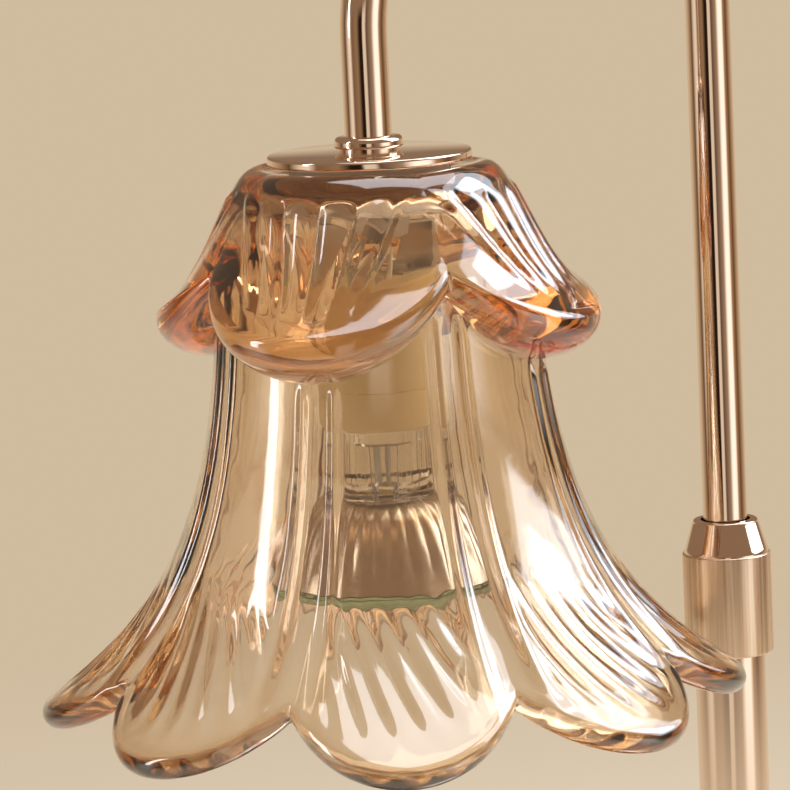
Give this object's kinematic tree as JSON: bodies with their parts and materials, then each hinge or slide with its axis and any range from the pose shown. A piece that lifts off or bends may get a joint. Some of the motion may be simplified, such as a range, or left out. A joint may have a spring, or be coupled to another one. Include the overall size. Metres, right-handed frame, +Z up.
{
  "type": "tulip shade table lamp",
  "caption": "Table lamp with a two-tier flower-shaped pressed-glass shade hung from an arched metal tube, which slides and turns in a twist-lock post on a round weighted base.",
  "frame": {"origin": "middle of the round base, on the surface that the lamp stands on", "axes": "+Z up; +X from the middle of the base towards the post; the shade hangs towards -X"},
  "size_m": [0.1887, 0.17, 0.346],
  "materials": {
    "rose_metal": "polished",
    "satin_metal": "satin",
    "zinc_steel": "satin",
    "cast_weight": "matte",
    "black_paint": "satin",
    "black_rubber": "matte",
    "clear_rubber": "matte",
    "white_nylon": "satin",
    "amber_glass": "gloss",
    "clear_glass": "gloss",
    "ivory_ceramic": "matte",
    "brass": "satin",
    "white_sleeving": "matte"
  },
  "bodies": {
    "base": {"base_cover": "rose_metal", "base_weight": "cast_weight", "base_plate": "black_paint", "foot_ring": "black_rubber", "plate_screws": "zinc_steel", "cord_inlet": "black_rubber", "lower_tube": "rose_metal", "post_plug": "zinc_steel", "post_flange": "rose_metal", "post_washer": "zinc_steel", "post_nut": "zinc_steel", "lock_seat": "zinc_steel", "collet": "white_nylon"},
    "lock_ring": {"lock_sleeve": "satin_metal", "lock_nose": "rose_metal"},
    "height_slide": {"guide_bush": "white_nylon"},
    "arm": {"arm_tube": "rose_metal", "bush_clips": "zinc_steel", "tube_ferrule": "rose_metal", "cap_disc": "rose_metal", "shade_nipple": "brass", "shade_gasket_upper": "clear_rubber", "shade_gasket_lower": "clear_rubber", "glass_shade": "amber_glass", "shade_retainer": "zinc_steel", "nipple_nuts": "zinc_steel", "holder_bracket": "zinc_steel", "holder_screws": "zinc_steel", "holder_skirt": "ivory_ceramic", "holder_top": "ivory_ceramic", "holder_contacts": "brass", "holder_leads": "white_sleeving"},
    "bulb": {"bulb_glass": "clear_glass", "bulb_lens": "clear_glass", "bulb_pins": "zinc_steel", "bulb_cement": "ivory_ceramic", "bulb_capsule": "clear_glass", "bulb_filament": "zinc_steel"}
  },
  "joints": [
    {"name": "lock_twist", "type": "hinge", "parent": "base", "child": "lock_ring", "pos_m": [0.066, 0, 0.16], "axis": [0, 0, 1], "range_deg": [0, 180]},
    {"name": "height_adjust", "type": "slide", "parent": "base", "child": "height_slide", "axis": [0, 0, 1], "range_m": [-0.03, 0.07]},
    {"name": "arm_swivel", "type": "hinge", "parent": "height_slide", "child": "arm", "pos_m": [0.066, 0, 0.16], "axis": [0, 0, 1], "range_deg": [-90, 90]},
    {"name": "bulb_twist", "type": "hinge", "parent": "arm", "child": "bulb", "pos_m": [-0.028, 0, 0.2], "axis": [0, 0, 1], "range_deg": [-25, 0]}
  ]
}
